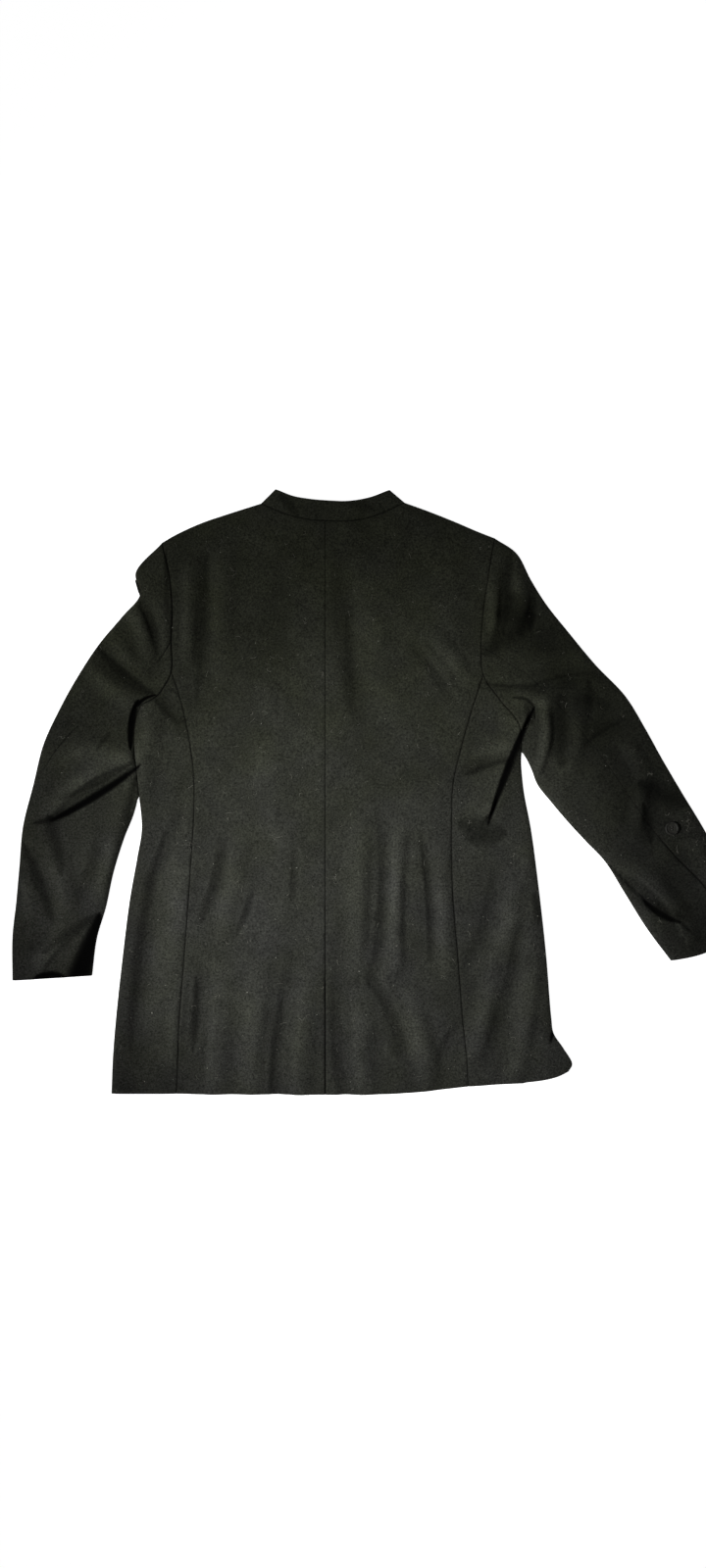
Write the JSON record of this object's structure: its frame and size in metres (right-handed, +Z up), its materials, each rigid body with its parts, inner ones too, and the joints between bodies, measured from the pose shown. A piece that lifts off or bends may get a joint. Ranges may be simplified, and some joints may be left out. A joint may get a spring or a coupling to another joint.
{
  "type": "blazer",
  "caption": "Black wool blazer laid flat with its back up: narrow stand collar, centre-back and side-back seams, two-piece sleeves and a sleeve button.",
  "frame": {"origin": "centre of the footprint, on the table the blazer lies on", "axes": "+Z up from the table, out of the blazer's back; +Y from the hem to the collar; +X towards the wearer's right"},
  "size_m": [0.9794, 0.801, 0.0147],
  "materials": {
    "wool": "black wool cloth with a soft milled face, matt",
    "button": "black sew-through button, satin"
  },
  "bodies": {
    "root": {"back_left": "wool", "back_right": "wool", "side_left": "wool", "side_right": "wool", "front_left": "wool", "front_right": "wool", "top_sleeve_left": "wool", "under_sleeve_left": "wool", "top_sleeve_right": "wool", "under_sleeve_right": "wool", "collar": "wool", "sleeve_button_right": "button"}
  },
  "joints": []
}
